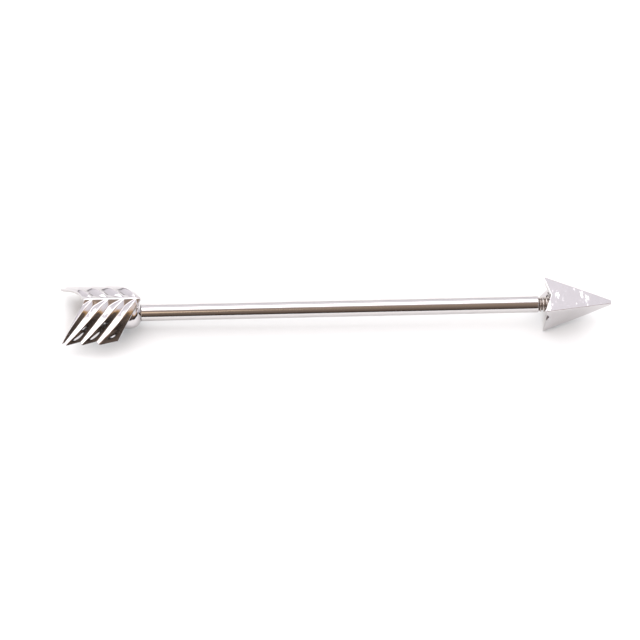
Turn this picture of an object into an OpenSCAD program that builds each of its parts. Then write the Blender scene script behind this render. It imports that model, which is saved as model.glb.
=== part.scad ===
// Industrial barbell: a straight bar threaded at both ends, with an arrowhead screwed on one end
// and a feathered tail on the other. The bar lies along X with its middle at the origin and the
// arrowhead at +X. The arrowhead's lower flat faces down, as it lies on a table.

/* [Bar] */
// Diameter of the bar
bar_d = 1.6; // [1.2:0.1:2]
// Plain length of the bar between its two threads
bar_len = 38; // [28:0.5:50]
// Pitch of the threads
thread_pitch = 0.35; // [0.25:0.05:0.4]
// Number of thread turns on each end
thread_turns = 9; // [7:1:10]
// Depth of the thread below its crest
thread_depth = 0.2; // [0.1:0.01:0.25]
// How far the thread's crest lies below the bar's surface, which leaves a shoulder
thread_relief = 0.04; // [0.03:0.01:0.08]
// Gap all round between a thread and its socket
thread_gap = 0.03; // [0.02:0.005:0.05]
// Room left in a socket beyond the end of the thread
socket_room = 0.2; // [0.1:0.05:0.4]

/* [Arrowhead] */
// Width of the arrowhead's square back, flat to flat
head_w = 3.93; // [3.6:0.01:5]
// Length that its four flats would have if they met in a point
head_point_len = 7.3; // [6.8:0.1:9]
// Radius of its blunt nose
nose_r = 0.24; // [0.15:0.01:0.35]
// Depth of the swallow-tail notch in each flat's back edge
notch_depth = 0.7; // [0.4:0.05:1]
// Thickness of the walls round the hollow back
head_wall = 0.36; // [0.3:0.02:0.5]
// Depth of the hollow back
hollow_depth = 1.3; // [1:0.05:1.6]
// Thickness of the wall of the socket that stands in the hollow
head_socket_wall = 0.34; // [0.25:0.01:0.4]
// Gap between the end of the bar and the corners of the back, in which the thread shows
head_gap = 0.43; // [0.2:0.01:0.8]

/* [Tail vanes] */
// Length of the tail's spine
spine_len = 5.3; // [4:0.05:8]
// Width of a vane from the spine to its tips
vane_w = 4.3; // [3:0.05:6]
// How far the tips lie behind the roots
vane_sweep = 2.4; // [1.5:0.05:3.5]
// How much further back the grooves between the barbs sweep than the vane's two end edges
barb_lean = 1.1; // [0:0.05:1.2]
// Angle between the two vanes
vane_angle = 106; // [95:1:130]
// Radius to which a vane is arched
vane_arch_r = 5.2; // [4:0.1:12]
// Thickness of a vane at the bottom of its grooves
vane_t = 0.3; // [0.2:0.02:0.4]
// Number of barbs on each vane
barb_count = 4; // [3:1:6]
// Width of the front barb at the spine, as a share of a middle one's
front_share = 0.7; // [0.6:0.02:1.2]
// Width of the rear barb at the spine, as a share of a middle one's
rear_share = 0.84; // [0.8:0.02:1.2]
// Height of a barb's crest above the grooves
barb_h = 0.3; // [0.2:0.02:0.4]
// Height that is taken off the crests' sharp edges
crest_cut = 0.03; // [0.02:0.01:0.06]
// Share of a barb's width that its rear flank takes
barb_rear_share = 0.42; // [0.3:0.02:0.7]
// How far the tips of the barbs stand out past the notches between them
tip_out = 0.34; // [0.2:0.02:0.6]
// How far those notches lie behind the grooves
notch_lag = 0.06; // [0.04:0.01:0.15]
// Radius of the bead along the spine
spine_r = 0.24; // [0.18:0.01:0.35]
// How far the bead stands out behind the vanes
spine_end = 0.1; // [0.05:0.01:0.2]
// Height of the spine above the bar's axis
spine_h = 2.2; // [1.85:0.05:2.6]
// Length of the pocket beside the spine at the root of each groove, as a share of a middle barb
pocket_share = 0.76; // [0.5:0.02:0.9]
// Width of that pocket
pocket_w = 0.65; // [0.4:0.05:0.8]
// How far the tail is turned on the bar, away from the arrowhead's flats
tail_turn = 7; // [0:1:30]

/* [Tail boss] */
// Diameter of the boss that holds the thread
boss_d = 3; // [2.8:0.05:3.4]
// Length of the boss
boss_len = 3.9; // [3.8:0.1:4.5]
// Radius of the boss's domed front, beside the bar
boss_nose = 1.15; // [0.6:0.05:1.3]
// Radius on the boss's rear edge
boss_round = 0.65; // [0.3:0.05:0.65]
// Width of the web that joins the boss to the spine
web_w = 1.6; // [1:0.1:2]

/* [Hidden] */
$fn = 72;

steel = [0.78, 0.77, 0.78];
bar_r = bar_d / 2;

// Thread and sockets
thread_r = bar_r - thread_relief;
thread_len = thread_turns * thread_pitch;
thread_lead = 0.1;
socket_r = thread_r + thread_gap;
cut_past = 1;

// Arrowhead
head_half = head_w / 2;
corner_r = head_half * sqrt(2);
head_x = bar_len / 2 + head_gap;
flat_angle = atan(head_half / head_point_len);
nose_x = head_point_len - nose_r / sin(flat_angle);
edge_angle = asin((corner_r - nose_r) / norm([nose_x, corner_r]));
head_socket_r = socket_r + head_socket_wall;
head_socket_len = thread_len - head_gap + socket_room;

// Tail
boss_r = boss_d / 2;
nose_inset = max(0, socket_r + boss_nose - boss_r);
nose_seat = boss_nose - sqrt(pow(boss_nose, 2) - pow(nose_inset, 2));
vane_slope = 90 - vane_angle / 2;
vane_sagitta = vane_arch_r - sqrt(pow(vane_arch_r, 2) - pow(vane_w / 2, 2));
root_arch = asin(vane_w / 2 / vane_arch_r);
barb_sweep = vane_sweep + barb_lean;
sweep_angle = atan(barb_sweep / vane_w);
barb_pitch = spine_len / (barb_count - 2 + front_share + rear_share);
barb_w = barb_pitch * cos(sweep_angle);
barb_arch_r = vane_arch_r / pow(cos(sweep_angle), 2);
groove_x = [for (i = [0:barb_count - 2]) -(front_share + i) * barb_pitch];
tail_socket_len = thread_len + socket_room;

// One end's thread: rings of a V profile, from the bar's end face outwards along X
module thread() {
    crest = thread_pitch / 8;
    root_r = thread_r - thread_depth;
    rings = [for (i = [0:thread_turns - 1], p = [[root_r, 0], [thread_r, 0.5 - 0.0625],
        [thread_r, 0.5 + 0.0625]]) [p[0], (i + p[1]) * thread_pitch]];
    rotate([0, 90, 0]) rotate_extrude()
        polygon(concat([[0, -thread_lead]], [[root_r, -thread_lead]], rings,
            [[root_r, thread_len - crest], [root_r - crest, thread_len], [0, thread_len]]));
}

// The bar with a thread at each end
module bar() {
    color(steel) {
        translate([-bar_len / 2, 0, 0]) rotate([0, 90, 0]) cylinder(h = bar_len, r = bar_r);
        for (side = [0, 1]) mirror([side, 0, 0]) translate([bar_len / 2, 0, 0]) thread();
    }
}

// Four flats that meet in a point: two triangles extruded square to each other
module pyramid(half, length) {
    wide = 2 * half;
    outline = [[0, -half], [length, 0], [0, half]];
    intersection() {
        translate([0, 0, -wide / 2]) linear_extrude(wide) polygon(outline);
        rotate([90, 0, 0]) translate([0, 0, -wide / 2]) linear_extrude(wide) polygon(outline);
    }
}

// Round form that blunts the nose and takes the sharpness off the long edges
module bullet() {
    rotate([0, 90, 0]) rotate_extrude() {
        polygon([[0, 0], [corner_r, 0],
            [nose_r * cos(edge_angle), nose_x + nose_r * sin(edge_angle)], [0, nose_x]]);
        intersection() {
            translate([0, nose_x]) circle(nose_r);
            translate([0, nose_x]) square(nose_r + cut_past);
        }
    }
}

// Grooves across the back that leave a notch in each flat and a barb at each corner
module swallow_tail() {
    outline = [[-cut_past, -head_half], [0, -head_half], [notch_depth, 0], [0, head_half],
        [-cut_past, head_half]];
    for (turn = [0, 90]) rotate([turn, 0, 0])
        translate([0, 0, -head_half]) linear_extrude(head_w) polygon(outline);
}

// Square hollow in the back, with the socket left standing in it
module head_hollow() {
    taper = hollow_depth * tan(flat_angle);
    half = head_half - head_wall - taper;
    difference() {
        translate([-cut_past, -half, -half]) cube([hollow_depth + cut_past, 2 * half, 2 * half]);
        rotate([0, 90, 0]) cylinder(h = hollow_depth + cut_past, r = head_socket_r);
    }
}

// The arrowhead, with the socket for the thread
module arrowhead() {
    color(steel) translate([head_x, 0, 0]) difference() {
        intersection() {
            pyramid(head_half, head_point_len);
            bullet();
        }
        swallow_tail();
        head_hollow();
        translate([-cut_past, 0, 0]) rotate([0, 90, 0])
            cylinder(h = cut_past + head_socket_len, r = socket_r);
    }
}

// A vane's arch in its own frame: X along the spine, Y out to the tips, Z square to its chord
module vane_arch() {
    reach = spine_len + vane_sweep;
    translate([-reach, 0, 0]) rotate([90, 0, 90]) linear_extrude(reach) intersection() {
        translate([vane_w / 2, vane_sagitta - vane_arch_r]) difference() {
            circle(vane_arch_r + barb_h - crest_cut, $fn = 180);
            circle(vane_arch_r - vane_t, $fn = 180);
        }
        translate([0, -vane_w]) square([vane_w, 2 * vane_w]);
    }
}

// Groove between two barbs, whose flanks run up to the crests on either side
module barb_groove(x) {
    rise = barb_h + cut_past;
    out = rise / barb_h * barb_w;
    translate([x, 0, 0]) rotate([0, 0, 90 + sweep_angle])
        translate([vane_w / 2 / cos(sweep_angle), 0, vane_sagitta - barb_arch_r]) rotate([-90, -90, 0])
            rotate_extrude($fn = 180) translate([barb_arch_r, 0])
                polygon([[0, 0], [rise, -barb_rear_share * out], [rise, (1 - barb_rear_share) * out]]);
}

// Pocket at the root of a groove, beside the spine, with its point on the groove
module root_pocket(x) {
    half = pocket_share * barb_pitch / 2;
    lean = pocket_w * tan(sweep_angle);
    translate([x, 0, 0]) rotate([root_arch, 0, 0]) linear_extrude(barb_h + vane_sagitta)
        polygon([[-half - lean / 2, 0], [half - lean / 2, 0], [-lean, pocket_w]]);
}

// Outline of a vane from above: a tip on each barb and a notch at the end of each groove
module vane_outline() {
    notch = vane_w - tip_out;
    tip_lead = barb_rear_share * barb_pitch;
    scallops = [for (x = groove_x, p = [[tip_lead, vane_w], [-notch_lag, notch]])
        [x + p[0] - barb_sweep * p[1] / vane_w, p[1]]];
    translate([0, 0, -vane_w]) linear_extrude(2 * vane_w)
        polygon(concat([[0, 0], [-vane_sweep * notch / vane_w, notch]], scallops,
            [[-spine_len - vane_sweep, vane_w], [-spine_len, 0]]));
}

// One vane on the +Y side of the spine
module vane() {
    rotate([-vane_slope, 0, 0]) intersection() {
        difference() {
            vane_arch();
            for (x = concat([barb_lean], groove_x, [-spine_len])) barb_groove(x);
            for (x = groove_x) root_pocket(x);
        }
        vane_outline();
    }
}

// Web under the spine: its top follows the vanes, and its front is swept back as theirs are
module web() {
    half = web_w / 2;
    top = spine_h - vane_t / 2;
    low = top - half * tan(vane_slope - root_arch);
    sweep = half * vane_sweep / vane_w;
    intersection() {
        translate([-boss_len, 0, 0]) rotate([90, 0, 90]) linear_extrude(boss_len)
            polygon([[-half, 0], [half, 0], [half, low], [0, top], [-half, low]]);
        linear_extrude(top) polygon([[0, 0], [-sweep, half], [-boss_len, half],
            [-boss_len, -half], [-sweep, -half]]);
    }
}

// Boss with a domed front, which is set so far forward that its socket's rim meets the bar
module boss() {
    whole = boss_len + nose_seat;
    translate([nose_seat, 0, 0]) rotate([0, -90, 0]) rotate_extrude() {
        translate([0, boss_nose]) square([boss_r - boss_round, whole - boss_nose]);
        translate([0, boss_nose]) square([boss_r, whole - boss_nose - boss_round]);
        intersection() {
            translate([boss_r - boss_nose, boss_nose]) circle(boss_nose);
            square([boss_r, boss_nose]);
        }
        square([boss_r - boss_nose, boss_nose]);
        translate([boss_r - boss_round, whole - boss_round]) circle(boss_round);
    }
}

// The tail: two ribbed vanes, spine, web and boss in one casting
module fletching() {
    color(steel) translate([-bar_len / 2, 0, 0]) rotate([-tail_turn, 0, 0]) difference() {
        union() {
            for (side = [0, 1]) mirror([0, side, 0]) translate([0, 0, spine_h]) vane();
            translate([-spine_len - spine_end, 0, spine_h]) rotate([0, 90, 0])
                cylinder(h = spine_len + spine_end, r = spine_r);
            web();
            boss();
        }
        translate([-tail_socket_len, 0, 0]) rotate([0, 90, 0])
            cylinder(h = tail_socket_len + cut_past, r = socket_r);
    }
}

bar();
arrowhead();
fletching();
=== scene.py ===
"""Looks of an arrow barbell: a straight steel bar with an arrowhead and a feathered tail.

The bar lies along X with its middle at the origin and the arrowhead at +X, and Z is up. Sizes in
the classes are in millimetres, and meshes are written in metres.
"""

import logging
import math
from dataclasses import asdict, dataclass, field
from enum import Enum
from typing import Sequence

import bmesh
import bpy
import numpy as np
from mathutils import Matrix, Vector

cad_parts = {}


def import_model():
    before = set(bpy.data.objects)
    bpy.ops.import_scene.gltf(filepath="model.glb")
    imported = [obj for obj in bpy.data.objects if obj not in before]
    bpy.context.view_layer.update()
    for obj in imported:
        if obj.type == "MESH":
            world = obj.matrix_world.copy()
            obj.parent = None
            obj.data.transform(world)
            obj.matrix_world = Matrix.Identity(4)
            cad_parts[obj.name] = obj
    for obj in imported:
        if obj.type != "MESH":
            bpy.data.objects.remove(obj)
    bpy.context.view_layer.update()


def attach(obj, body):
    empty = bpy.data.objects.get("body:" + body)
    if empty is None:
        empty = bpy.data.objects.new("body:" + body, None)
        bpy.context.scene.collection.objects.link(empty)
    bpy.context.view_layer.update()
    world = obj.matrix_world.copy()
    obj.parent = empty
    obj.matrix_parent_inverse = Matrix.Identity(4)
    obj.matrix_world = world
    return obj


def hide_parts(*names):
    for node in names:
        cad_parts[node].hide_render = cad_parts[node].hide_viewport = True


MM = 0.001
log = logging.getLogger("barbell")

Colour = tuple[float, float, float, float]
Place = tuple[float, float, float]
# a sum is an operation and its terms, and a term is a number, a name or another sum
Term = "str | float | tuple[Term, ...]"
Step = tuple[Term, ...]

# a colour Mix node's two colours and its result, by their numbers
MIX_FROM, MIX_TO, MIX_RESULT = 6, 7, 2
# a scratch's half width and how softly it ends, as shares of the spacing of the scratches
SCRATCH_WIDTH, SCRATCH_EDGE = 0.04, 0.03
# scratches lie aslant, and are this much longer than they are apart
SCRATCH_TURN, SCRATCH_STRETCH = (0.3, 0.7, 0.5), (0.12, 1.0, 1.0)
# how much the polish varies from place to place, and the size of those places in 1/mm
SMEAR, SMEAR_SCALE = 0.6, 0.9
# points nearer than this are one point, in metres
DOUBLES = 2e-4 * MM
# a rounding takes at most this share of a side
LONGEST_ROUNDING = 0.42
# a ring this many reaches from a corner keeps the side beyond its rounding flat
FLAT_FROM = 1.15
# how deep a cone the drill leaves at the bottom of a bore, in millimetres
DRILL_CONE = 0.3


class End(Enum):
    """The two ends of the bar, by the direction in which each points along X."""

    TAIL = -1
    HEAD = 1


class Side(Enum):
    """The two vanes of the tail, by the side of the spine on which each lies."""

    NEAR = -1
    FAR = 1


class Coat(Enum):
    """The two finishes of a piece, by their place among its material slots."""

    MAIN = 0
    INNER = 1


def linear(hex_colour: str) -> Colour:
    """Turn an sRGB colour into linear light.

    Args:
        hex_colour: Six hex digits after a hash sign.

    Returns:
        Red, green and blue in linear light, and an alpha of one.
    """
    parts = [int(hex_colour[i : i + 2], 16) / 255 for i in (1, 3, 5)]
    red, green, blue = (c / 12.92 if c <= 0.04045 else ((c + 0.055) / 1.055) ** 2.4 for c in parts)
    return red, green, blue, 1.0


def add_node(
    tree: bpy.types.NodeTree, kind: str, inputs: dict | None = None, settings: dict | None = None
) -> bpy.types.Node:
    """Add a node to a tree with its settings and links.

    Args:
        tree: The material's, world's or geometry's node tree.
        kind: The node's type name.
        inputs: A value, or another node's output to link, for each input by name or number.
        settings: The node's own properties.

    Returns:
        The new node.
    """
    node = tree.nodes.new(kind)
    for name, value in (settings or {}).items():
        setattr(node, name, value)
    for name, value in (inputs or {}).items():
        if isinstance(value, bpy.types.NodeSocket):
            tree.links.new(value, node.inputs[name])
        else:
            node.inputs[name].default_value = value
    return node


def work_out(tree: bpy.types.NodeTree, steps: Sequence[Step], known: dict) -> dict:
    """Work through a list of sums, with one node for each operation.

    Args:
        tree: The tree that gets the nodes.
        steps: For each sum its name, its operation and its terms. The word HELD after an
            operation keeps its result between 0 and 1.
        known: The sockets that the first sums may name.

    Returns:
        The socket of every name, the known ones among them.
    """
    found = dict(known)

    def value_of(term: Term) -> bpy.types.NodeSocket | float:
        """Find what a term stands for, and add the nodes of one that is a sum.

        Args:
            term: A number, a name or a sum.

        Returns:
            The number, or the socket that carries the result.
        """
        if not isinstance(term, tuple):
            return found[term] if isinstance(term, str) else float(term)
        operation, _, held = term[0].partition(" ")
        inputs = {i: value_of(v) for i, v in enumerate(term[1:])}
        settings = {"operation": operation, "use_clamp": held == "HELD"}
        return add_node(tree, "ShaderNodeMath", inputs, settings).outputs[0]

    for name, *formula in steps:
        found[name] = value_of(tuple(formula))
    return found


def add_object(name: str, data: bpy.types.ID) -> bpy.types.Object:
    """Put a new object into the scene, at the origin.

    Args:
        name: The object's name.
        data: Its mesh, light or camera.

    Returns:
        The object.
    """
    made = bpy.data.objects.new(name, data)
    bpy.context.scene.collection.objects.link(made)
    return made


@dataclass(frozen=True)
class Finish:
    """A metal finish: what the metal is and how its surface was made."""

    name: str
    colour: str
    worn_colour: str
    roughness: float
    worn_roughness: float
    wave_mm: float
    wave_depth_mm: float
    grain_mm: tuple[float, float, float]
    grain_depth_mm: float
    scratch_mm: float
    scratch_depth_mm: float

    def material(self) -> bpy.types.Material:
        """Build the finish as a node material.

        Returns:
            A metal whose raised edges, marked by the wear attribute, are polished brighter.
        """
        made = bpy.data.materials.new(self.name)
        made.use_nodes = True
        tree = made.node_tree
        tree.nodes.clear()
        place = add_node(tree, "ShaderNodeTexCoord").outputs["Object"]
        in_mm, along = (
            add_node(tree, "ShaderNodeMapping", {"Vector": place, "Scale": scale}).outputs[0]
            for scale in ((1 / MM,) * 3, tuple(1 / (MM * g) for g in self.grain_mm))
        )
        wave, grain, smear = (
            add_node(
                tree,
                "ShaderNodeTexNoise",
                {"Vector": way, "Scale": scale, "Detail": detail, "Roughness": rough},
            ).outputs[0]
            for way, scale, detail, rough in (
                (in_mm, 1 / self.wave_mm, 2.0, 0.4),
                (along, 1.0, 3.0, 0.5),
                (in_mm, SMEAR_SCALE, 4.0, 0.5),
            )
        )
        aslant = add_node(
            tree,
            "ShaderNodeMapping",
            {"Vector": in_mm, "Rotation": SCRATCH_TURN, "Scale": SCRATCH_STRETCH},
        ).outputs[0]
        cells = add_node(
            tree,
            "ShaderNodeTexVoronoi",
            {"Vector": aslant, "Scale": 1 / self.scratch_mm, "Randomness": 1.0},
            {"feature": "DISTANCE_TO_EDGE"},
        ).outputs["Distance"]
        wear = add_node(
            tree, "ShaderNodeAttribute", None, {"attribute_name": "wear"}
        ).outputs["Fac"]
        sums = work_out(
            tree,
            (
                ("line", "SMOOTH_MIN", "cells", SCRATCH_WIDTH, SCRATCH_EDGE),
                ("line_height", "MULTIPLY", "line", self.scratch_depth_mm * MM / SCRATCH_WIDTH),
                ("grain_height", "MULTIPLY", "grain", self.grain_depth_mm * MM),
                ("wave_height", "MULTIPLY", "wave", self.wave_depth_mm * MM),
                ("height", "ADD", ("ADD", "line_height", "grain_height"), "wave_height"),
                ("polish", "ADD", "wear", ("MULTIPLY_ADD", "smear", SMEAR, -SMEAR / 2)),
            ),
            {"cells": cells, "grain": grain, "wave": wave, "smear": smear, "wear": wear},
        )
        polish = sums["polish"]
        mix = add_node(
            tree,
            "ShaderNodeMix",
            {"Factor": polish, MIX_FROM: linear(self.colour), MIX_TO: linear(self.worn_colour)},
            {"data_type": "RGBA"},
        ).outputs[MIX_RESULT]
        rough = add_node(
            tree,
            "ShaderNodeMapRange",
            {"Value": polish, "To Min": self.roughness, "To Max": self.worn_roughness},
        ).outputs[0]
        bump = add_node(tree, "ShaderNodeBump", {"Height": sums["height"], "Distance": 1.0})
        shader = add_node(
            tree,
            "ShaderNodeBsdfPrincipled",
            {"Base Color": mix, "Metallic": 1.0, "Roughness": rough, "Normal": bump.outputs[0]},
        )
        add_node(tree, "ShaderNodeOutputMaterial", {"Surface": shader.outputs[0]})
        return made


# Ground and polished surgical steel rod: cool grey, with faint rings from the grinding belt that
# soften the long bands of light
GROUND_ROD = Finish(
    name="ground_steel_rod",
    colour="#c6c2c2",
    worn_colour="#cfcccb",
    roughness=0.14,
    worn_roughness=0.1,
    wave_mm=4.0,
    wave_depth_mm=0.004,
    grain_mm=(0.05, 1.2, 1.2),
    grain_depth_mm=0.0006,
    scratch_mm=1.6,
    scratch_depth_mm=0.0004,
)

# Cast steel polished on a soft wheel: bright and slightly wavy, so reflections break into patches,
# and its raised edges are brighter than its hollows
POLISHED_CASTING = Finish(
    name="polished_steel_casting",
    colour="#c3c0c1",
    worn_colour="#d3d0d1",
    roughness=0.13,
    worn_roughness=0.05,
    wave_mm=1.3,
    wave_depth_mm=0.075,
    grain_mm=(0.16, 0.16, 0.16),
    grain_depth_mm=0.0009,
    scratch_mm=0.9,
    scratch_depth_mm=0.0006,
)

# Cast steel that the wheel doesn't reach, inside hollows and under the vanes: grey and satin
TUMBLED_CASTING = Finish(
    name="tumbled_steel_casting",
    colour="#a9a4a2",
    worn_colour="#c4c0be",
    roughness=0.36,
    worn_roughness=0.24,
    wave_mm=0.7,
    wave_depth_mm=0.014,
    grain_mm=(0.11, 0.11, 0.11),
    grain_depth_mm=0.004,
    scratch_mm=0.8,
    scratch_depth_mm=0.001,
)

# Thread cut by a die: duller flanks with fine tool lines round the bar, and crests rubbed bright
CUT_THREAD = Finish(
    name="cut_steel_thread",
    colour="#a8a09a",
    worn_colour="#d8d2cd",
    roughness=0.27,
    worn_roughness=0.14,
    wave_mm=0.8,
    wave_depth_mm=0.003,
    grain_mm=(0.06, 0.5, 0.5),
    grain_depth_mm=0.0015,
    scratch_mm=0.5,
    scratch_depth_mm=0.0006,
)


@dataclass(frozen=True)
class Station:
    """A place that a surface runs through, with the rounding and the looks that it has there."""

    x: float | np.ndarray
    size: float | np.ndarray
    rounding: float
    wear: float
    coat: Coat = Coat.MAIN


@dataclass
class Draft:
    """A mesh in the making, in millimetres, put together from several surfaces."""

    finishes: tuple[Finish, ...]
    points: list[np.ndarray] = field(default_factory=list)
    faces: list[tuple[int, ...]] = field(default_factory=list)
    slots: list[int] = field(default_factory=list)
    wear: list[np.ndarray] = field(default_factory=list)

    def add(
        self,
        points: np.ndarray,
        faces: Sequence[Sequence[int]],
        slots: Sequence[int],
        wear: np.ndarray,
    ) -> None:
        """Add one surface.

        Args:
            points: Its points, one row each.
            faces: The numbers of each face's points.
            slots: Each face's finish, by its place in the draft's finishes.
            wear: How far each point is polished, from 0 in hollows to 1 on edges.
        """
        base = sum(len(p) for p in self.points)
        self.points.append(np.asarray(points, float))
        self.faces.extend(tuple(base + i for i in f) for f in faces)
        self.slots.extend(slots)
        self.wear.append(np.asarray(wear, float))

    def add_rings(self, rings: np.ndarray, wear: np.ndarray, slots: np.ndarray) -> None:
        """Add a surface through closed rings of points.

        Args:
            rings: The points, as rings by places by three.
            wear: Each ring's polish.
            slots: The finish between each ring and the next.
        """
        count, around = rings.shape[:2]
        kinds = np.repeat(slots[:-1], around).tolist()
        faces = sheet_faces(count, around, closed=True)
        self.add(rings.reshape(-1, 3), faces, kinds, np.repeat(wear, around))

    def add_stations(
        self, stations: Sequence[Station], rings: np.ndarray, owners: np.ndarray
    ) -> None:
        """Add a surface through rounded stations, each with its own polish and finish.

        Args:
            stations: The stations that the surface runs through.
            rings: Its rings of points.
            owners: The station that each ring belongs to.
        """
        wear = np.array([stations[i].wear for i in owners])
        slots = np.array([stations[i].coat.value for i in owners])
        self.add_rings(rings, wear, slots)

    def make(self, name: str) -> bpy.types.Object:
        """Turn the draft into an object at the origin, in metres.

        Args:
            name: The object's name.

        Returns:
            The finished object, smooth, with its doubles merged and its faces outwards.
        """
        mesh = bpy.data.meshes.new(name)
        mesh.from_pydata((np.vstack(self.points) * MM).tolist(), [], self.faces)
        for finish in self.finishes:
            mesh.materials.append(bpy.data.materials.get(finish.name) or finish.material())
        mesh.polygons.foreach_set("material_index", self.slots)
        mesh.polygons.foreach_set("use_smooth", [True] * len(mesh.polygons))
        mark = mesh.attributes.new("wear", "FLOAT", "POINT")
        mark.data.foreach_set("value", np.concatenate(self.wear).astype(np.float32))
        tidy_mesh(mesh)
        return add_object(name, mesh)


def tidy_mesh(mesh: bpy.types.Mesh) -> None:
    """Merge a mesh's doubles, drop faces without area and turn the rest outwards.

    Args:
        mesh: The mesh, in metres.
    """
    work = bmesh.new()
    work.from_mesh(mesh)
    bmesh.ops.remove_doubles(work, verts=work.verts, dist=DOUBLES)
    bmesh.ops.dissolve_degenerate(work, edges=work.edges, dist=DOUBLES)
    bmesh.ops.recalc_face_normals(work, faces=work.faces)
    work.to_mesh(mesh)
    work.free()


def lathe(profile: Sequence[tuple[float, float]], around: int) -> np.ndarray:
    """Turn a profile round the X axis.

    Args:
        profile: The X and the radius of each of its corners.
        around: Points in a ring.

    Returns:
        The corners, as rings by places by three.
    """
    turn = np.linspace(0, 2 * np.pi, around, endpoint=False)
    return np.array([[(x, r * math.cos(t), r * math.sin(t)) for t in turn] for x, r in profile])


def curve(start: np.ndarray, corner: np.ndarray, stop: np.ndarray, steps: int) -> list[np.ndarray]:
    """Run a rounding past a corner.

    Args:
        start: Where the rounding starts.
        corner: The corner.
        stop: Where the rounding ends.
        steps: How many points it has.

    Returns:
        The points on the rounding.
    """
    shares = np.linspace(0, 1, steps)
    return [(1 - t) ** 2 * start + 2 * t * (1 - t) * corner + t**2 * stop for t in shares]


def soften(
    corners: np.ndarray, reaches: Sequence[float], steps: int = 5
) -> tuple[np.ndarray, np.ndarray]:
    """Round the corners of many outlines at once.

    Args:
        corners: The corner points, as corners by outlines by three.
        reaches: How far from each corner its rounding starts; 0 leaves the corner as it is.
        steps: Points on each rounding.

    Returns:
        The points, as rings by outlines by three, and the corner that each ring belongs to.
    """
    rings, owners = [], []
    for i, reach in enumerate(reaches):
        here = corners[i]
        if reach <= 0 or i in (0, len(corners) - 1):
            rings.append(here)
            owners.append(i)
            continue
        legs = []
        for other in (corners[i - 1], corners[i + 1]):
            leg = other - here
            length = np.maximum(np.linalg.norm(leg, axis=1, keepdims=True), 1e-9)
            legs.append((leg / length, np.minimum(reach, LONGEST_ROUNDING * length)))
        (back, near), (on, far) = legs
        rings.append(here + back * near * FLAT_FROM)
        rings.extend(curve(here + back * near, here, here + on * far, steps))
        rings.append(here + on * far * FLAT_FROM)
        owners.extend([i] * (steps + 2))
    return np.array(rings), np.array(owners)


@dataclass(frozen=True)
class ShapeRule:
    """A rule that carries the points of a flat chart to a shape, built with Geometry Nodes."""

    name: str
    sizes: dict[str, float]
    steps: tuple[Step, ...]
    place: tuple[str, str, str]
    wear: str

    def tree(self) -> bpy.types.NodeTree:
        """Build the rule's tree.

        Returns:
            A tree with one named input for each size, which places the points and keeps how worn
            each one is.
        """
        tree = bpy.data.node_groups.new(self.name, "GeometryNodeTree")
        tree.interface.new_socket("Chart", in_out="INPUT", socket_type="NodeSocketGeometry")
        for size in self.sizes:
            tree.interface.new_socket(size, in_out="INPUT", socket_type="NodeSocketFloat")
        tree.interface.new_socket("Finish", in_out="INPUT", socket_type="NodeSocketMaterial")
        tree.interface.new_socket("Shape", in_out="OUTPUT", socket_type="NodeSocketGeometry")
        given = add_node(tree, "NodeGroupInput").outputs
        place = add_node(tree, "GeometryNodeInputPosition").outputs[0]
        chart = add_node(tree, "ShaderNodeSeparateXYZ", {0: place}).outputs
        known = {"a": chart[0], "b": chart[1], "c": chart[2]}
        known.update({size: given[size] for size in self.sizes})
        found = work_out(tree, self.steps, known)
        spot = add_node(
            tree, "ShaderNodeCombineXYZ", {i: found[name] for i, name in enumerate(self.place)}
        ).outputs[0]
        moved = add_node(
            tree,
            "GeometryNodeStoreNamedAttribute",
            {"Geometry": given["Chart"], "Name": "wear", "Value": found[self.wear]},
            {"data_type": "FLOAT", "domain": "POINT"},
        ).outputs[0]
        moved = add_node(
            tree, "GeometryNodeSetPosition", {"Geometry": moved, "Position": spot}
        ).outputs[0]
        joined = add_node(tree, "GeometryNodeRealizeInstances", {0: moved}).outputs[0]
        dressed = add_node(
            tree, "GeometryNodeSetMaterial", {"Geometry": joined, "Material": given["Finish"]}
        ).outputs[0]
        add_node(tree, "NodeGroupOutput", {"Shape": dressed})
        return tree

    def shape(
        self, points: np.ndarray, faces: Sequence[Sequence[int]], finish: Finish
    ) -> tuple[np.ndarray, list[tuple[int, ...]], np.ndarray]:
        """Carry a chart to the shape.

        Args:
            points: The chart's points.
            faces: The chart's faces.
            finish: What the shape is dressed in.

        Returns:
            The shape's points in millimetres, its faces, and each point's wear.
        """
        mesh = bpy.data.meshes.new(self.name)
        mesh.from_pydata(points.tolist(), [], [tuple(f) for f in faces])
        holder = add_object(self.name, mesh)
        modifier = holder.modifiers.new(self.name, "NODES")
        modifier.node_group = self.tree()
        values = dict(self.sizes)
        values["Finish"] = bpy.data.materials.get(finish.name) or finish.material()
        for item in modifier.node_group.interface.items_tree:
            if item.in_out == "INPUT" and item.name in values:
                modifier[item.identifier] = values[item.name]
        graph = bpy.context.evaluated_depsgraph_get()
        plain = bpy.data.meshes.new_from_object(holder.evaluated_get(graph))
        spots = np.zeros(len(plain.vertices) * 3)
        plain.vertices.foreach_get("co", spots)
        worn = np.zeros(len(plain.vertices))
        plain.attributes["wear"].data.foreach_get("value", worn)
        made = [tuple(p.vertices) for p in plain.polygons]
        holder.modifiers.clear()
        bpy.data.objects.remove(holder)
        bpy.data.meshes.remove(plain)
        return spots.reshape(-1, 3), made, worn


def sheet_faces(
    rows: int, columns: int, base: int = 0, closed: bool = False
) -> list[tuple[int, ...]]:
    """Number the faces of a sheet of points.

    Args:
        rows: Rows of points.
        columns: Points in a row.
        base: The number of the first point.
        closed: Whether each row's last point joins its first.

    Returns:
        The four points of each face.
    """
    faces = []
    for i in range(rows - 1):
        for j in range(columns if closed else columns - 1):
            k = (j + 1) % columns
            here, next_row = base + i * columns, base + (i + 1) * columns
            faces.append((here + j, here + k, next_row + k, next_row + j))
    return faces


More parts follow.
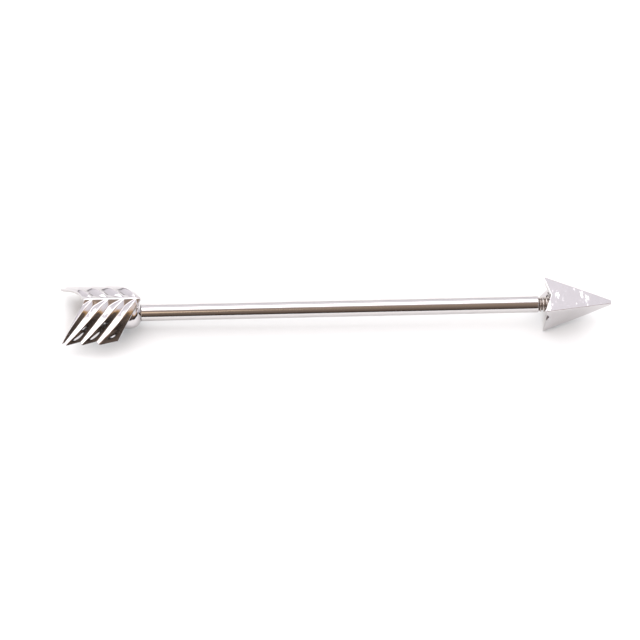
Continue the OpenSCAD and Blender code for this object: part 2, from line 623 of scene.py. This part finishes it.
# A thread: a runs along the bar, and b and c lie on the circle round it.
THREAD_STEPS: tuple[Step, ...] = (
    # how far a point is from the middle of its groove, along the winding
    ("turns", "DIVIDE", "a", "Pitch"),
    ("phase", "SUBTRACT", "turns", ("DIVIDE", ("ARCTAN2", "c", "b"), 2 * math.pi)),
    ("spread", "ABSOLUTE", ("SUBTRACT", ("FRACT", "phase"), 0.5)),
    # the flanks meet in a narrow flat crest, and the thread runs out at both ends
    ("from_rod", "DIVIDE", "a", "Run Out"),
    ("near_end", "MINIMUM", ("DIVIDE", ("SUBTRACT", "Length", "a"), "Run Out"), "from_rod"),
    ("fade", "SMOOTH_MIN HELD", "near_end", 1.0, 0.2),
    ("height", "MINIMUM", ("SMOOTH_MIN", ("MULTIPLY", "spread", 2.3), 1.0, 0.12), "fade"),
    ("radius", "SUBTRACT", "Crest Radius", ("MULTIPLY", ("SUBTRACT", 1.0, "height"), "Depth")),
    ("y", "MULTIPLY", "b", "radius"),
    ("z", "MULTIPLY", "c", "radius"),
    ("worn", "POWER", "height", 3.0),
)


@dataclass
class Bar:
    """The straight bar, with a right-hand thread cut on each end."""

    diameter: float = 1.6
    length: float = 38.0
    pitch: float = 0.35
    turns: int = 9
    depth: float = 0.2
    relief: float = 0.04
    run_out: float = 0.22
    edge: float = 0.07
    inside_rod: float = 0.1
    around: int = 72
    across_turn: int = 16

    def rod(self, draft: Draft) -> None:
        """Add the plain rod with its two eased edges.

        Args:
            draft: The bar's mesh.
        """
        radius, half = self.diameter / 2, self.length / 2
        stations = (
            Station(-half, 0.0, 0.0, 0.3),
            Station(-half, radius, self.edge, 0.8),
            Station(half, radius, self.edge, 0.8),
            Station(half, 0.0, 0.0, 0.3),
        )
        corners = lathe([(s.x, s.size) for s in stations], self.around)
        draft.add_stations(stations, *soften(corners, [s.rounding for s in stations]))

    def thread(self, draft: Draft, end: End) -> None:
        """Add one end's thread, a groove that winds round the core.

        Args:
            draft: The bar's mesh.
            end: The end of the bar.
        """
        crest = self.diameter / 2 - self.relief
        length = self.turns * self.pitch
        rule = ShapeRule(
            name="thread_rule",
            sizes={
                "Pitch": self.pitch,
                "Crest Radius": crest,
                "Depth": self.depth,
                "Length": length,
                "Run Out": self.run_out,
            },
            steps=THREAD_STEPS,
            place=("a", "y", "z"),
            wear="worn",
        )
        along = np.linspace(0, length, self.turns * self.across_turn + 1)
        stations = [(-self.inside_rod, 1.0), *[(x, 1.0) for x in along], (length, 0.0)]
        chart = lathe(stations, self.around)
        faces = sheet_faces(len(stations), self.around, closed=True)
        shaped, faces, worn = rule.shape(chart.reshape(-1, 3), faces, CUT_THREAD)
        shaped = shaped + [self.length / 2, 0, 0]
        shaped[:, :2] *= end.value
        draft.add(shaped, faces, [Coat.INNER.value] * len(faces), worn)

    def build(self) -> bpy.types.Object:
        """Build the bar.

        Returns:
            The bar's object, which rides on its body in place of the plain solid.
        """
        draft = Draft((GROUND_ROD, CUT_THREAD))
        self.rod(draft)
        for end in End:
            self.thread(draft, end)
        made = draft.make("barbell_bar")
        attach(made, "bar")
        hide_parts("bar")
        return made


@dataclass
class Arrowhead:
    """The arrowhead: a square point with a swallow-tail back, hollow round its socket."""

    back_x: float = 19.43
    width: float = 3.93
    point_length: float = 7.3
    nose_x: float = 6.617
    nose_reach: float = 0.16
    notch: float = 0.7
    edge: float = 0.1
    nose_edge: float = 0.08
    pocket_edge: float = 0.2
    roundest: float = 0.6
    wall: float = 0.36
    hollow: float = 1.3
    socket_wall: float = 0.34
    bore: float = 0.79
    bore_end: float = 2.92
    flat_places: tuple[float, ...] = (-0.985, -0.9, -0.7, -0.45, -0.2, -0.05, -0.015, 0.0)
    corner_places: int = 6

    def square(self, half: np.ndarray | float, rounding: float) -> np.ndarray:
        """Find a ring of points on a square with rounded corners, square to X.

        Args:
            half: Half the square's width, for all the ring or for each of its points.
            rounding: The corners' radius.

        Returns:
            The points' Y and Z, in order round the ring.
        """
        flats = np.array([*self.flat_places, *[-t for t in reversed(self.flat_places[:-1])]])
        arc = np.linspace(0, math.pi / 2, self.corner_places + 2)[1:-1]
        count = len(flats) + len(arc)
        halves = np.broadcast_to(np.asarray(half, float), (4 * count,)).reshape(4, count)
        radii = np.minimum(rounding, self.roundest * halves)
        points = []
        for side, (reach, radius) in enumerate(zip(halves, radii)):
            turn = side * math.pi / 2
            inner = reach - radius
            flat, corner = np.split(inner, [len(flats)])
            bend = radius[len(flats) :]
            across = np.concatenate([flats * flat, corner + bend * np.sin(arc)])
            out = np.concatenate([reach[: len(flats)], corner + bend * np.cos(arc)])
            y = out * math.cos(turn) - across * math.sin(turn)
            z = out * math.sin(turn) + across * math.cos(turn)
            points.append(np.column_stack([y, z]))
        return np.vstack(points)

    def back_of(self, ring: np.ndarray) -> np.ndarray:
        """Find how far forward the swallow-tail back lies at each of a ring's points."""
        return self.notch * (1 - np.abs(ring).min(axis=1) / (self.width / 2))

    def outer_back(self) -> tuple[np.ndarray, np.ndarray]:
        """Find the outer edge of the back, where the four flats meet its grooves.

        The edge lies on both, so it is carried from the one to the other until it rests.

        Returns:
            The edge's Y and Z, and its X from the back corners.
        """
        rounds, x = 12, 0.0
        for _ in range(rounds):
            ring = self.square(self.width / 2 * (1 - x / self.point_length), self.edge)
            x = self.back_of(ring)
        return ring, x

    def build(self) -> bpy.types.Object:
        """Build the arrowhead.

        Returns:
            The arrowhead's object, which rides on its body in place of the plain solid.
        """
        half = self.width / 2
        outer, outer_x = self.outer_back()
        nose_half = half * (1 - self.nose_x / self.point_length)
        nose = self.square(nose_half, self.nose_edge)
        taper = self.hollow * half / self.point_length
        pocket = self.square(half - self.wall - taper, self.pocket_edge)
        angle = np.arctan2(outer[:, 1], outer[:, 0])
        circle = np.stack([np.cos(angle), np.sin(angle)], axis=1)
        socket, bore = circle * (self.bore + self.socket_wall), circle * self.bore
        inner, bore_end = Coat.INNER, self.bore_end
        stations = (
            # each with its x, its ring, its rounding and its wear
            Station(self.nose_x, nose * 0, 0.0, 1.0),
            Station(self.nose_x, nose, self.nose_reach, 0.55),
            Station(outer_x, outer, 0.07, 0.9),
            Station(self.back_of(pocket), pocket, 0.05, 0.6),
            Station(self.hollow, pocket, 0.1, 0.0, inner),
            Station(self.hollow, socket, 0.08, 0.0, inner),
            Station(self.back_of(socket), socket, 0.05, 0.5, inner),
            Station(self.back_of(bore), bore, 0.04, 0.4, inner),
            Station(bore_end, bore, 0.05, 0.0, inner),
            Station(bore_end + DRILL_CONE, bore * 0, 0.0, 0.0, inner),
        )
        level = np.full(len(nose), self.back_x)
        corners = np.array([np.column_stack([s.x + level, s.size]) for s in stations])
        draft = Draft((POLISHED_CASTING, TUMBLED_CASTING))
        draft.add_stations(stations, *soften(corners, [s.rounding for s in stations]))
        made = draft.make("arrow_point")
        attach(made, "arrowhead")
        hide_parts("arrowhead")
        return made


# A vane: a counts barbs from the front edge to the rear one, b runs from 0 at the spine to 1
# at the tips, and c is 0 on the upper face and -1 on the under face.
VANE_STEPS: tuple[Step, ...] = (
    # which barb a point is on, and how far across it
    ("last", "SUBTRACT", "Barbs", 1.0),
    ("f", "SUBTRACT", "a", ("MINIMUM", ("FLOOR", "a"), "last")),
    ("past_last", "SUBTRACT HELD", "a", "last"),
    ("in_rear", "GREATER_THAN", "past_last", 1e-05),
    # the barbs' tips stand out past the notches at the grooves' ends, the last at its rear
    ("tip_at", "MULTIPLY_ADD", "in_rear", ("SUBTRACT", 0.999, "Tip Place"), "Tip Place"),
    ("rising", "SUBTRACT", 1.0, ("DIVIDE", "f", "tip_at")),
    ("falling", "DIVIDE", ("SUBTRACT", "f", "tip_at"), ("SUBTRACT", 1.0, "tip_at")),
    ("inset_mm", "MULTIPLY", ("SMOOTH_MAX", "rising", "falling", "Tip Round"), "Tip Out"),
    ("reach", "SUBTRACT", "Width", "inset_mm"),
    ("v", "MULTIPLY", "reach", "b"),
    ("v_share", "DIVIDE", "v", "Width"),
    # where the line through the point leaves the spine, and how far it sweeps back
    ("in_front", "MINIMUM", "a", 1.0),
    ("middle_count", "SUBTRACT", "Barbs", 2.0),
    ("middle_part", "MINIMUM", ("MAXIMUM", ("SUBTRACT", "a", 1.0), 0.0), "middle_count"),
    ("front_middle", "ADD", ("MULTIPLY", "in_front", "Front Share"), "middle_part"),
    ("root_share", "ADD", "front_middle", ("MULTIPLY", "past_last", "Rear Share")),
    ("lean_here", "MULTIPLY", ("MINIMUM", "in_front", ("SUBTRACT", "Barbs", "a")), "Lean"),
    ("swept", "MULTIPLY", ("ADD", "lean_here", "Sweep"), "v_share"),
    ("back", "ADD", ("MULTIPLY", "root_share", "Pitch"), "swept"),
    ("x", "MULTIPLY", "back", -1.0),
    # height of the barb, whose crest nears the rear groove towards the tip
    ("b_late", "POWER", "b", 2.0),
    ("crest_tip", "MULTIPLY_ADD", ("POWER", "b", 1.4), "Crest Shift", "Crest Root"),
    ("crest_rear", "MULTIPLY", ("MULTIPLY", ("SUBTRACT", 1.0, "crest_tip"), "in_rear"), "b"),
    ("crest", "ADD", "crest_tip", "crest_rear"),
    ("rear_flank", "DIVIDE", ("SUBTRACT", 1.0, "f"), ("SUBTRACT", 1.0001, "crest")),
    ("raised", "SMOOTH_MIN HELD", ("DIVIDE", "f", "crest"), "rear_flank", "Crest Round"),
    # barbs rise from the spine and grow lower again towards their tips
    ("fade_out", "MULTIPLY_ADD", "b_late", -0.58, ("MULTIPLY_ADD HELD", "b", 2.0, 0.8)),
    # the last barb narrows towards its tip, so it sinks as well
    ("left_up", "MULTIPLY_ADD", ("MULTIPLY", "in_rear", "b"), -0.9, 1.0),
    ("barb_part", "MULTIPLY", "raised", ("MULTIPLY", "fade_out", "left_up")),
    ("ridge_mm", "MULTIPLY", "barb_part", "Barb Height"),
    # a low swelling on each barb's front flank, near its tip
    ("swell_along", "MULTIPLY_ADD", "b", 7.5, -5.9),
    ("swell_across", "MULTIPLY_ADD", "f", 4.0, -1.9),
    ("swell_across_sq", "MULTIPLY", "swell_across", "swell_across"),
    ("swell_far", "ADD", ("MULTIPLY", "swell_along", "swell_along"), "swell_across_sq"),
    ("swell_left", "SUBTRACT HELD", 1.0, "swell_far"),
    ("swell_here", "MULTIPLY", ("MULTIPLY", "swell_left", "swell_left"), "left_up"),
    ("barb_mm", "MULTIPLY_ADD", "swell_here", "Swelling", "ridge_mm"),
    # at its root each groove ramps up to the spine, which leaves a pocket between the barbs
    ("ramp_left", "SUBTRACT HELD", 1.0, ("DIVIDE", "v", "Pocket Width")),
    ("ramp_mm", "MULTIPLY", ("POWER", "ramp_left", 1.5), "Pocket Height"),
    ("top", "SMOOTH_MAX", "barb_mm", "ramp_mm", 0.03),
    # both faces close on the vane's edges, which are rounded
    ("low", "MULTIPLY", "Thickness", -1.0),
    ("mid", "MULTIPLY", ("ADD", "top", "low"), 0.5),
    ("edge_back", "MULTIPLY", "Sweep", "v_share"),
    ("to_rear", "SUBTRACT", ("ADD", "Spine", "edge_back"), "back"),
    ("gap_sides", "MINIMUM", ("SUBTRACT", "reach", "v"), "v"),
    ("gap", "MINIMUM", ("MINIMUM", ("SUBTRACT", "back", "edge_back"), "to_rear"), "gap_sides"),
    ("gap_cube", "POWER", ("SUBTRACT", 1.0, ("DIVIDE HELD", "gap", "Edge")), 3.0),
    ("full", "POWER", ("SUBTRACT", 1.0, "gap_cube"), 0.3333),
    ("off_mid", "SUBTRACT", ("MULTIPLY_ADD", ("SUBTRACT", "top", "low"), "c", "top"), "mid"),
    ("height", "MULTIPLY_ADD", "off_mid", "full", "mid"),
    # the vane is arched across its width, most of all beside the spine
    ("hump", "MULTIPLY", "v_share", ("SUBTRACT", 1.0, "v_share")),
    ("from_mid", "SUBTRACT", 0.5, "v_share"),
    ("skewed", "MULTIPLY_ADD", "from_mid", "Arch Skew", 1.0),
    ("arch", "MULTIPLY", ("MULTIPLY", "hump", "skewed"), "Arch Rise"),
    ("slope_hump", "MULTIPLY", ("MULTIPLY", "from_mid", 2.0), "skewed"),
    ("slope_share", "SUBTRACT", "slope_hump", ("MULTIPLY", "hump", "Arch Skew")),
    ("lift", "ARCTANGENT", ("DIVIDE", ("MULTIPLY", "slope_share", "Arch Rise"), "Width")),
    ("y", "SUBTRACT", "v", ("MULTIPLY", "height", ("SINE", "lift"))),
    ("z", "MULTIPLY_ADD", "height", ("COSINE", "lift"), "arch"),
    # crests and edges are polished, and grooves are not
    ("top_worn", "MULTIPLY", ("POWER", "raised", 1.5), ("ADD", "c", 1.0)),
    ("worn", "SUBTRACT", ("MAXIMUM", "top_worn", "gap_cube"), "ramp_left"),
)


@dataclass(frozen=True)
class Vane:
    """A barbed vane. Its sizes are inputs of its rule, under the same names."""

    barbs: float = 4.0
    spine: float = 5.3
    width: float = 4.3
    sweep: float = 2.4
    lean: float = 1.1
    thickness: float = 0.3
    edge: float = 0.09
    arch_radius: float = 5.2
    arch_skew: float = 1.3
    front_share: float = 0.7
    rear_share: float = 0.84
    barb_height: float = 0.3
    swelling: float = 0.04
    tip_out: float = 0.34
    tip_place: float = 0.75
    tip_round: float = 0.5
    crest_root: float = 0.38
    crest_shift: float = 0.46
    crest_round: float = 0.3
    pocket_width: float = 0.65
    pocket_height: float = 0.28

    def rule(self) -> ShapeRule:
        """Write the rule that the vane follows.

        Returns:
            The rule, which gives places in the vane's own frame.
        """
        sizes = {name.replace("_", " ").title(): value for name, value in asdict(self).items()}
        sizes["Pitch"] = self.spine / (self.barbs - 2 + self.front_share + self.rear_share)
        # the rule wants the arch's rise in place of its radius
        radius = sizes.pop("Arch Radius")
        sizes["Arch Rise"] = 4 * (radius - math.sqrt(radius**2 - (self.width / 2) ** 2))
        return ShapeRule("vane_rule", sizes, VANE_STEPS, ("x", "y", "z"), "worn")

    def chart(
        self, across_barb: int = 24, outwards: int = 72
    ) -> tuple[np.ndarray, list[tuple[int, ...]], int]:
        """Lay out the flat chart of the vane's upper and under faces.

        Args:
            across_barb: Faces across a barb.
            outwards: Faces from the spine to the tips.

        Returns:
            The chart's points, its faces, and how many of the faces are on the upper side.
        """
        # lines this near the edges carry their rounding
        close = np.array([0.0004, 0.002, 0.006, 0.012, 0.02, 0.03])
        across = np.arange(0, self.barbs * across_barb + 1) / across_barb
        across = np.unique(np.round(np.concatenate([across, close, self.barbs - close * 1.6]), 6))
        rows = np.linspace(0, 1, outwards + 1)
        rows = np.unique(np.round(np.concatenate([rows, 1 - close / 2, close / 2]), 6))
        a, b = np.meshgrid(across, rows)
        sheets = [np.stack([a.ravel(), b.ravel(), np.full(a.size, c)], axis=1) for c in (0.0, -1.0)]
        upper = sheet_faces(len(rows), len(across))
        under = [tuple(reversed(f)) for f in sheet_faces(len(rows), len(across), base=a.size)]
        return np.vstack(sheets), upper + under, len(upper)


@dataclass
class Fletching:
    """The feathered tail: two vanes, their spine, a web and the boss that holds the thread."""

    vanes: Vane = Vane()
    start_x: float = -19.0
    angle: float = 106.0
    turn: float = 7.0
    spine_radius: float = 0.24
    spine_height: float = 2.2
    boss_diameter: float = 3.0
    boss_length: float = 3.9
    boss_nose: float = 1.15
    boss_round: float = 0.65
    bore: float = 0.79
    bore_end: float = 3.35
    web_width: float = 1.6
    web_bottom: float = 0.2
    web_top: float = 1.72
    web_edge: float = 0.22
    # the web's heights, each with its share of the web's width
    web_levels: tuple[tuple[float, float], ...] = (
        (0.2, 1.0),
        (0.9, 1.12),
        (1.25, 1.02),
        (1.45, 1.0),
        (1.6, 1.0),
        (1.7, 0.55),
    )

    def place(self, points: np.ndarray, side: Side | None = None) -> np.ndarray:
        """Carry points to their place on the bar.

        Args:
            points: Points in a vane's frame, or in the tail's own frame.
            side: The vane's side, or none for the tail's own frame.

        Returns:
            The points in the part's frame.
        """
        turn = Matrix.Rotation(math.radians(-self.turn), 4, "X")
        matrix = Matrix.Translation((self.start_x, 0, 0)) @ turn
        if side:
            slope = math.radians(90 - self.angle / 2)
            matrix = (
                matrix
                @ Matrix.Translation((0, 0, self.spine_height))
                @ Matrix.Diagonal((1, side.value, 1, 1))
                @ Matrix.Rotation(-slope, 4, "X")
            )
        whole = np.array(matrix)
        return points @ whole[:3, :3].T + whole[:3, 3]

    def vane(self, draft: Draft, side: Side) -> None:
        """Add one vane.

        Args:
            draft: The tail's mesh.
            side: The side of the spine on which it lies.
        """
        points, faces, upper = self.vanes.chart()
        shaped, faces, worn = self.vanes.rule().shape(points, faces, POLISHED_CASTING)
        slots = [Coat.MAIN.value] * upper + [Coat.INNER.value] * (len(faces) - upper)
        draft.add(self.place(shaped, side), faces, slots, worn)

    def place_rings(self, rings: np.ndarray) -> np.ndarray:
        """Carry rings from the tail's own frame to the part's frame."""
        return self.place(rings.reshape(-1, 3)).reshape(rings.shape)

    def turned(
        self,
        draft: Draft,
        stations: Sequence[Station],
        around: int,
        lift: float = 0.0,
        steps: int = 5,
    ) -> None:
        """Add a surface turned round a line along the bar.

        Args:
            draft: The tail's mesh.
            stations: The corners of its profile.
            around: Points in a ring.
            lift: How far above the bar's middle the line is.
            steps: Points on each rounding.
        """
        corners = lathe([(s.x, s.size) for s in stations], around) + [0, 0, lift]
        rings, owners = soften(corners, [s.rounding for s in stations], steps)
        draft.add_stations(stations, self.place_rings(rings), owners)

    def bead(self, draft: Draft) -> None:
        """Add the bead along the spine.

        Args:
            draft: The tail's mesh.
        """
        radius, rear, polish = self.spine_radius, -self.vanes.spine - 0.1, 0.9
        stations = (
            # each with its x, its radius and its rounding
            Station(0.0, 0.0, 0.0, polish),
            Station(0.0, 0.8 * radius, 0.08, polish),
            Station(-0.5, radius, 0.2, polish),
            Station(rear, radius, 0.1, polish),
            Station(rear, 0.0, 0.0, polish),
        )
        self.turned(draft, stations, around=32, lift=self.spine_height)

    def boss(self, draft: Draft) -> None:
        """Add the boss with its rounded edges and the plain bore that takes the bar's thread.

        Args:
            draft: The tail's mesh.
        """
        radius, nose = self.boss_diameter / 2, self.boss_nose
        low = math.asin((self.bore + nose - radius) / nose)
        seat = nose * (1 - math.cos(low))
        stations = (
            # each with its x, its radius, its rounding and its wear
            Station(-self.boss_length, 0.0, 0.0, 0.2),
            Station(-self.boss_length, radius, self.boss_round, 0.5),
            *[
                Station(
                    seat - nose * (1 - math.cos(t)), radius - nose * (1 - math.sin(t)), 0.0, 0.6
                )
                for t in np.linspace(math.pi / 2, low, 16)
            ],
            Station(0.0, self.bore, 0.03, 0.6, Coat.INNER),
            Station(-self.bore_end, self.bore, 0.05, 0.0, Coat.INNER),
            Station(-self.bore_end - DRILL_CONE, 0.0, 0.0, 0.0, Coat.INNER),
        )
        self.turned(draft, stations, around=72, steps=9)

    def web(self, draft: Draft) -> None:
        """Add the web that joins the boss to the vanes.

        Args:
            draft: The tail's mesh.
        """
        half, middle, rear = self.web_width / 2, -self.boss_length / 2, 0.1 - self.boss_length
        corners = [(-0.12, 0.0), (-0.5, half), (rear, half), (rear, -half), (-0.5, -half)]
        outline = round_outline(np.array(corners), self.web_edge)
        count = len(outline)
        rings = [
            np.column_stack([outline * [1, share], np.full(count, z)])
            for z, share in self.web_levels
        ]
        bottom, top = (
            np.tile((middle, 0.0, z), (count, 1)) for z in (self.web_bottom, self.web_top)
        )
        stack = self.place_rings(np.array([bottom, *rings, top]))
        draft.add_rings(stack, np.full(len(stack), 0.3), np.zeros(len(stack), int))

    def build(self) -> bpy.types.Object:
        """Build the tail.

        Returns:
            The tail's object, which rides on its body in place of the plain solid.
        """
        draft = Draft((POLISHED_CASTING, TUMBLED_CASTING))
        for side in Side:
            self.vane(draft, side)
        self.bead(draft)
        self.boss(draft)
        self.web(draft)
        made = draft.make("feathered_tail")
        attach(made, "fletching")
        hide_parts("fletching")
        return made


def round_outline(corners: np.ndarray, reach: float) -> np.ndarray:
    """Round the corners of a closed flat outline.

    Args:
        corners: The outline's corners, one row each.
        reach: How far from each corner its rounding starts.

    Returns:
        The rounded outline's points.
    """
    longest, steps = 0.45, 6
    points = []
    for i, here in enumerate(corners):
        before, after = corners[i - 1], corners[(i + 1) % len(corners)]
        start, stop = (
            here + (other - here) * min(longest, reach / np.linalg.norm(other - here))
            for other in (before, after)
        )
        points.extend(curve(start, here, stop, steps))
    return np.array(points)


# The room that the steel mirrors, by the direction of each of its places.
ROOM_STEPS: tuple[Step, ...] = (
    # the dark middle of the front, where the camera stands, is narrower higher up
    ("reach", "MINIMUM", ("MAXIMUM", ("MULTIPLY_ADD", "z", -0.5, 0.55), 0.25), 0.37),
    # it lies more to the right than to the left, and is open to either side
    ("aside", "ABSOLUTE", ("SUBTRACT", "x", ("SUBTRACT", "reach", 0.13))),
    ("side", "MULTIPLY HELD", ("SUBTRACT", "aside", "reach"), 4.0),
    # the sides are dark as well down by the table
    ("open", "MULTIPLY", "side", ("MULTIPLY_ADD HELD", "z", 4.5, -1.25)),
    # the dark turns golden at its rim, and the gold then turns pale
    ("golden", "MULTIPLY HELD", "open", 3.0),
    ("pale_over", "MULTIPLY_ADD", "open", 1.5, -0.5),
    ("pale", "MAXIMUM", "pale_over", ("MULTIPLY_ADD HELD", "y", 4.0, 0.7)),
    # a dim strip beyond the far edge of the table
    ("skyline", "MINIMUM", ("MAXIMUM", ("MULTIPLY_ADD", "z", 4.5, 0.1), 0.3), 1.0),
    ("upward", "POWER", ("MAXIMUM", "z", 0.0), 1.6),
    ("level", "MULTIPLY", "skyline", 1.2),
)


@dataclass(frozen=True)
class Panel:
    """A flat light. Its light is how bright its face is, where white paper in full light is 1."""

    name: str
    place: Place
    size: tuple[float, float]
    light: float
    aim: Place = (0.0, 0.0, 0.0)
    colour: str = "#ffffff"
    mirrored: bool = True

    def hang(self) -> None:
        """Hang the light in its place, facing what it aims at."""
        lamp = bpy.data.lights.new(self.name, "AREA")
        lamp.shape = "RECTANGLE"
        lamp.size, lamp.size_y = (side * MM for side in self.size)
        lamp.energy = math.pi * lamp.size * lamp.size_y * self.light
        lamp.color = linear(self.colour)[:3]
        holder = add_object(self.name, lamp)
        facing = Vector(self.place) - Vector(self.aim)
        turn = facing.to_track_quat("Z", "Y").to_matrix().to_4x4()
        holder.matrix_world = Matrix.Translation(Vector(self.place) * MM) @ turn
        holder.visible_glossy = self.mirrored


# The large soft box over the far half of the table, which the rod mirrors as its broad white band.
SOFT_BOX = Panel("soft_box", (-25.0, 240.0, 500.0), (750.0, 380.0), 2.0, (-25.0, 240.0, 0.0))
# A fill from the front, which the paper shows and the steel doesn't.
FILL = Panel(
    "fill", (60.0, -420.0, 420.0), (300.0, 300.0), 7.8, colour="#e4f4ff", mirrored=False
)
# A wide low light at the back, which lays the soft shadows towards the camera.
LOW_BACK = Panel("low_back", (0.0, 700.0, 450.0), (1600.0, 350.0), 4.4, mirrored=False)
# A window on the left and a small warm card beside the camera, for the glints on the barbs.
WINDOW = Panel("window", (-370.0, -120.0, 300.0), (260.0, 340.0), 2.0)
WARM_CARD = Panel("warm_card", (-80.0, -150.0, 290.0), (150.0, 100.0), 0.9, colour="#ffe4c8")


@dataclass
class Studio:
    """The table, the lights and the dim room round it, and the camera."""

    table_half: float = 1500.0
    table_low: float = 1.965
    heel_x: float = 19.43
    boss_x: float = -21.0
    boss_radius: float = 1.5
    azimuth: float = -4.29
    elevation: float = 60.9
    roll: float = -2.48
    distance: float = 335.1
    focal_px: float = 3511.3
    frame_px: int = 640
    sensor: float = 36.0
    aim: Place = (-1.95, -1.208, 0.0)
    panels: tuple[Panel, ...] = (SOFT_BOX, FILL, LOW_BACK, WINDOW, WARM_CARD)

    def table(self) -> bpy.types.Object:
        """Lay the table under the arrowhead's heel and the tail's boss.

        Returns:
            The table, which is part of the stage.
        """
        fall = (self.table_low - self.boss_radius) / (self.heel_x - self.boss_x)
        corners = []
        for across, deep in ((-1, -1), (1, -1), (1, 1), (-1, 1)):
            x, y = across * self.table_half, deep * self.table_half
            corners.append((x * MM, y * MM, (-self.table_low + (self.heel_x - x) * fall) * MM))
        mesh = bpy.data.meshes.new("table")
        mesh.from_pydata(corners, [], [(0, 1, 2, 3)])
        mesh.materials.append(self.paper())
        made = add_object("table", mesh)
        return made

    def paper(self) -> bpy.types.Material:
        """Build the matt white background paper.

        Returns:
            A dielectric with a faint tooth.
        """
        made = bpy.data.materials.new("matt_white_paper")
        made.use_nodes = True
        tree = made.node_tree
        tree.nodes.clear()
        place = add_node(tree, "ShaderNodeTexCoord").outputs["Object"]
        tooth = add_node(
            tree, "ShaderNodeMapping", {"Vector": place, "Scale": (1 / MM,) * 3}
        ).outputs[0]
        noise = add_node(tree, "ShaderNodeTexNoise", {"Vector": tooth, "Scale": 4.0}).outputs[0]
        bump = add_node(tree, "ShaderNodeBump", {"Height": noise, "Distance": 4e-6}).outputs[0]
        shader = add_node(
            tree,
            "ShaderNodeBsdfPrincipled",
            {
                "Base Color": linear("#d4d3d2"),
                "Roughness": 0.8,
                "Specular IOR Level": 0.2,
                "Normal": bump,
            },
        )
        add_node(tree, "ShaderNodeOutputMaterial", {"Surface": shader.outputs[0]})
        return made

    def room(self) -> None:
        """Paint the room that the steel mirrors: dark in front, pale behind and at the sides."""
        world = bpy.data.worlds.new("room")
        world.use_nodes = True
        bpy.context.scene.world = world
        tree = world.node_tree
        tree.nodes.clear()
        way = add_node(tree, "ShaderNodeTexCoord").outputs["Generated"]
        parts = add_node(tree, "ShaderNodeSeparateXYZ", {0: way}).outputs
        sums = work_out(tree, ROOM_STEPS, {"x": parts[0], "y": parts[1], "z": parts[2]})
        tone = linear("#433a35")
        for share, colour in (("upward", "#a89485"), ("golden", "#dcae76"), ("pale", "#fdf9ff")):
            tone = add_node(
                tree,
                "ShaderNodeMix",
                {"Factor": sums[share], MIX_FROM: tone, MIX_TO: linear(colour)},
                {"data_type": "RGBA"},
            ).outputs[MIX_RESULT]
        shade = add_node(tree, "ShaderNodeBackground", {"Color": tone, "Strength": sums["level"]})
        add_node(tree, "ShaderNodeOutputWorld", {"Surface": shade.outputs[0]})

    def camera(self) -> None:
        """Stand the camera where the photograph was taken from."""
        az, el, roll = (math.radians(v) for v in (self.azimuth, self.elevation, self.roll))
        back = Vector((math.sin(az) * math.cos(el), -math.cos(az) * math.cos(el), math.sin(el)))
        right = Vector((math.cos(az), math.sin(az), 0))
        up = back.cross(right)
        turned = right * math.cos(roll) - up * math.sin(roll)
        upright = right * math.sin(roll) + up * math.cos(roll)
        lens = bpy.data.cameras.new("camera")
        lens.sensor_width = self.sensor
        lens.lens = self.focal_px * self.sensor / self.frame_px
        lens.clip_start = 0.01
        holder = add_object("camera", lens)
        spot = (Vector(self.aim) + back * self.distance) * MM
        holder.matrix_world = (
            Matrix.Translation(spot) @ Matrix((turned, upright, back)).transposed().to_4x4()
        )
        bpy.context.scene.camera = holder

    def build(self) -> None:
        """Set the whole stage."""
        self.table()
        for panel in self.panels:
            panel.hang()
        self.room()
        self.camera()
        bpy.context.scene.view_settings.view_transform = "Standard"


def main() -> None:
    """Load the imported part, build each piece over it and set the stage."""
    logging.basicConfig(level=logging.INFO, format="%(name)s: %(message)s")
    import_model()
    for piece in (Bar(), Arrowhead(), Fletching()):
        made = piece.build()
        log.info("%s: %d faces", made.name, len(made.data.polygons))
    Studio().build()


if __name__ == "__main__":
    main()
